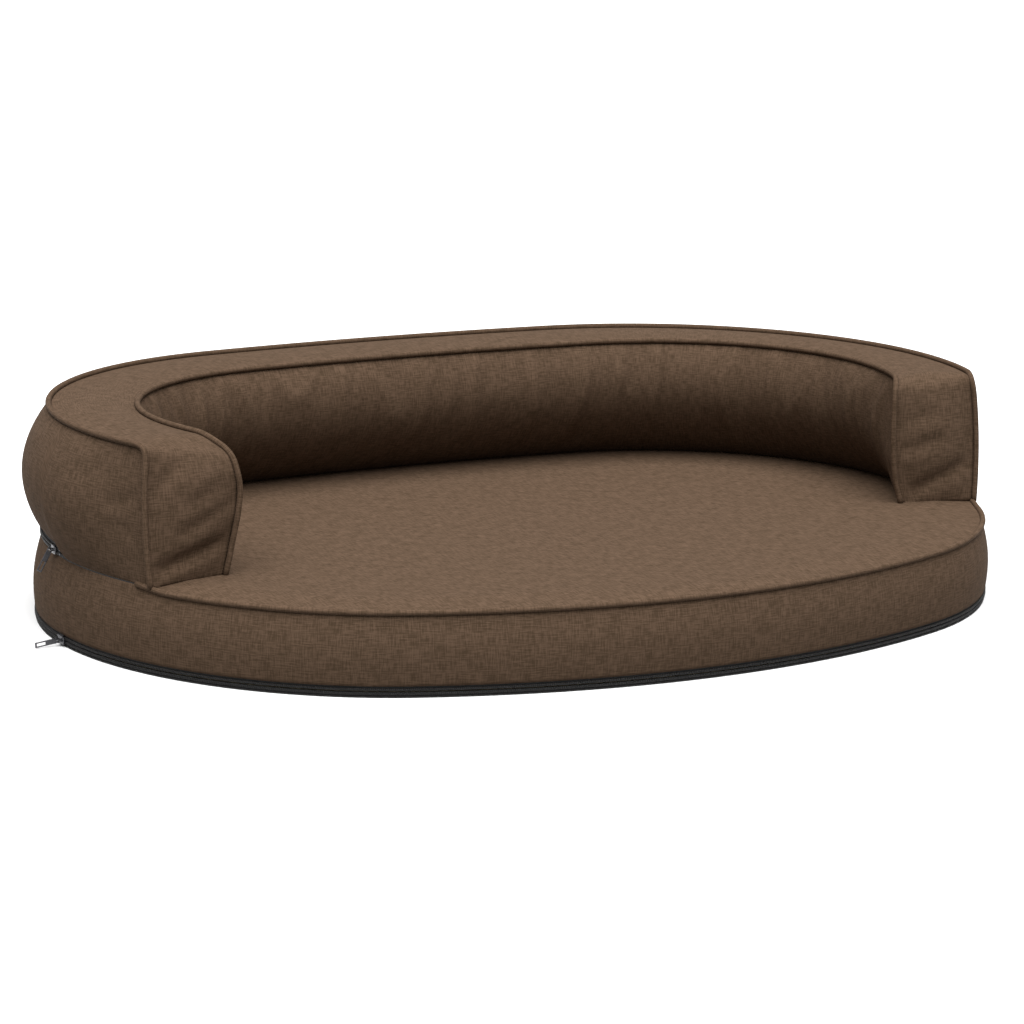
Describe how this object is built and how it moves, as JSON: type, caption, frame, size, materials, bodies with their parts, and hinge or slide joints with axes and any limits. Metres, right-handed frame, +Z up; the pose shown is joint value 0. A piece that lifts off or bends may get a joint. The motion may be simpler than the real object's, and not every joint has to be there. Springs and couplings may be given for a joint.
{
  "type": "pet cushion bed",
  "caption": "Oval cushion bed for a pet: a foam base with a raised U-shaped bolster at the sides and back, a low front, piped seams and zipped covers.",
  "frame": {"origin": "on the floor, at the middle of the oval base", "axes": "+X along the bed's length, -Y the low front where the animal steps in, +Z up"},
  "size_m": [0.9174, 0.6194, 0.1905],
  "materials": {
    "cover_cloth": "dark brown melange woven polyester, linen look",
    "seat_cloth": "dark brown melange woven polyester, linen look",
    "piping_cloth": "same cloth cut on the bias round a cord",
    "piping_cord": "white twisted cotton cord",
    "anti_slip_cloth": "black woven cloth with an anti-slip back",
    "foam": "cream open-cell polyurethane foam",
    "inner_bag_cloth": "white non-woven inner bag",
    "fibre_fill": "white polyester fibre filling",
    "zip_tape": "black woven polyester zip tape",
    "zip_coil": "black nylon monofilament coil",
    "zip_metal": "gunmetal plated zinc casting"
  },
  "bodies": {
    "bed": {"base_underside_panel": "anti_slip_cloth", "base_foam_core": "foam", "seat_panel": "seat_cloth", "base_side_band": "cover_cloth", "front_edge_piping": "piping_cloth", "front_edge_piping_cord": "piping_cord", "bolster_top_strip": "cover_cloth", "bolster_outer_panel": "cover_cloth", "bolster_inner_panel": "cover_cloth", "bolster_fill": "fibre_fill", "bolster_inner_bag": "inner_bag_cloth", "bolster_outer_piping": "piping_cloth", "bolster_outer_piping_cord": "piping_cord", "bolster_inner_piping": "piping_cloth", "bolster_inner_piping_cord": "piping_cord", "upper_zip_tape_lower": "zip_tape", "upper_zip_tape_upper": "zip_tape", "upper_zip_coil_lower": "zip_coil", "upper_zip_coil_upper": "zip_coil", "upper_zip_stops": "zip_metal", "lower_zip_tape_lower": "zip_tape", "lower_zip_tape_upper": "zip_tape", "lower_zip_coil_lower": "zip_coil", "lower_zip_coil_upper": "zip_coil", "lower_zip_stops": "zip_metal"},
    "upper_slider": {"upper_zip_slider": "zip_metal"},
    "upper_pull": {"upper_zip_pull": "zip_metal"},
    "lower_slider": {"lower_zip_slider": "zip_metal"},
    "lower_pull": {"lower_zip_pull": "zip_metal"}
  },
  "joints": [
    {"name": "upper_slider_travel", "type": "hinge", "parent": "bed", "child": "upper_slider", "pos_m": [-0.1512, 0.011, 0.076], "axis": [0, 0, 1], "range_deg": [-76, 0]},
    {"name": "upper_pull_swing", "type": "hinge", "parent": "upper_slider", "child": "upper_pull", "pos_m": [-0.43973, 0.04643, 0.076], "axis": [-0.1219, -0.9925, 0], "range_deg": [-100, 26]},
    {"name": "lower_slider_travel", "type": "hinge", "parent": "bed", "child": "lower_slider", "pos_m": [-0.1512, 0.011, 0.0053], "axis": [0, 0, 1], "range_deg": [0, 66]},
    {"name": "lower_pull_swing", "type": "hinge", "parent": "lower_slider", "child": "lower_pull", "pos_m": [-0.44626, 0.01615, 0.0053], "axis": [-0.0175, -0.9998, 0], "range_deg": [-97, 0]}
  ]
}
